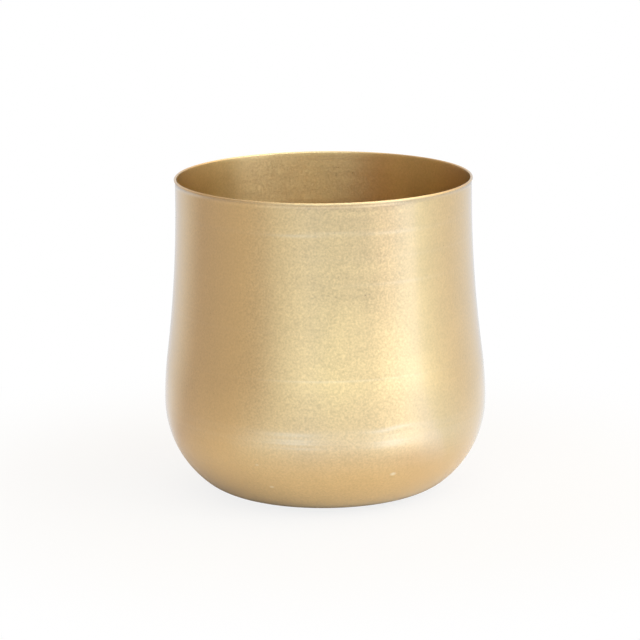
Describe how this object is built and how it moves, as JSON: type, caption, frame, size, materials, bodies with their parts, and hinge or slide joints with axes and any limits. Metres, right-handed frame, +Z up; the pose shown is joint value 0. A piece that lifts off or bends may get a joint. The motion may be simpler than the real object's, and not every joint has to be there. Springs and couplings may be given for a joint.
{
  "type": "cachepot",
  "caption": "Round cachepot spun from sheet metal: flat base, rounded bowl, low belly, gently narrowed upright collar with a small rolled lip, painted inside and out, on felt pads.",
  "frame": {"origin": "on the surface that the pot stands on, under its middle", "axes": "+Z up through the mouth, on the pot's axis of turning; -Y is the side that faces the camera in the picture"},
  "size_m": [0.16, 0.16, 0.1582],
  "materials": {
    "gold_paint": "pale gold metallic paint under a thin satin clear coat, inside and out, fine flake",
    "felt": "charcoal needled felt, matte",
    "adhesive": "milky double-sided tape"
  },
  "bodies": {
    "root": {"spun_shell": "gold_paint", "felt_pad_front_left": "felt", "felt_pad_front_right": "felt", "felt_pad_back_right": "felt", "felt_pad_back_left": "felt", "adhesive_disc_front_left": "adhesive", "adhesive_disc_front_right": "adhesive", "adhesive_disc_back_right": "adhesive", "adhesive_disc_back_left": "adhesive"}
  },
  "joints": []
}
